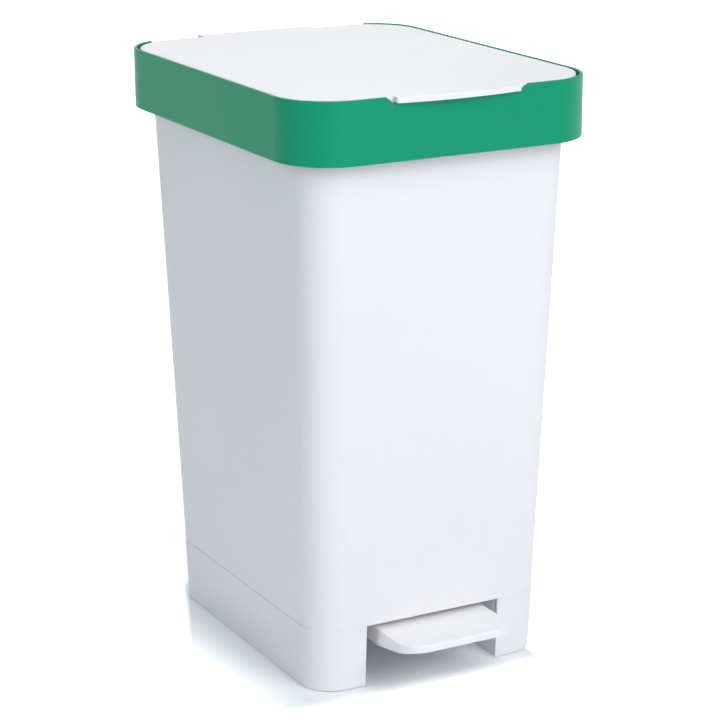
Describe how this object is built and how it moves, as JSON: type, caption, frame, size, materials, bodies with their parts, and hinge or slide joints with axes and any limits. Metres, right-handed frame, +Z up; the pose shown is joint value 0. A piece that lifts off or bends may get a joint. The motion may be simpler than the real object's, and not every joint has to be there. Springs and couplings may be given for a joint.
{
  "type": "pedal bin",
  "caption": "Tall tapered kitchen bin with a flat hinged lid set in a lift-off bag collar; a front pedal opens the lid through a push rod in the back.",
  "frame": {"origin": "on the floor, under the middle of the whole bin's outline, pedal and hinge tab included", "axes": "+X to the right seen from the front, -Y towards the pedal, +Z up"},
  "size_m": [0.256, 0.353, 0.47],
  "materials": {
    "white_plastic": "satin moulded white",
    "green_plastic": "satin moulded green",
    "guide_plastic": "natural grey-white, low friction",
    "steel": "zinc plated wire",
    "rubber": "dull black"
  },
  "bodies": {
    "bin": {"body": "white_plastic", "plinth": "white_plastic", "pedal_axle": "steel", "axle_clips": "steel", "rod_guide_upper": "guide_plastic", "rod_guide_lower": "guide_plastic", "plinth_screws": "steel", "foot_front_left": "rubber", "foot_front_right": "rubber", "foot_rear_left": "rubber", "foot_rear_right": "rubber"},
    "collar": {"collar": "green_plastic", "hinge_pin": "steel"},
    "lid": {"lid": "white_plastic"},
    "pedal": {"pedal": "white_plastic"},
    "rod": {"push_rod": "steel", "rod_cap": "guide_plastic", "rod_foot": "guide_plastic"}
  },
  "joints": [
    {"name": "collar_lift", "type": "slide", "parent": "bin", "child": "collar", "axis": [0, 0, 1], "range_m": [0, 0.12]},
    {"name": "lid_hinge", "type": "hinge", "parent": "collar", "child": "lid", "pos_m": [0, 0.172, 0.462], "axis": [-1, 0, 0], "range_deg": [0, 75]},
    {"name": "pedal_pivot", "type": "hinge", "parent": "bin", "child": "pedal", "pos_m": [0, -0.0675, 0.036], "axis": [1, 0, 0], "range_deg": [0, 9.41]},
    {"name": "rod_slide", "type": "slide", "parent": "bin", "child": "rod", "axis": [0, 0.0539, 0.9985], "range_m": [0, 0.03168]}
  ],
  "couplings": [
    {"joint": "pedal_pivot", "follows": "lid_hinge", "ratio": 0.12532},
    {"joint": "rod_slide", "follows": "lid_hinge", "m_per_rad": 0.024183}
  ]
}
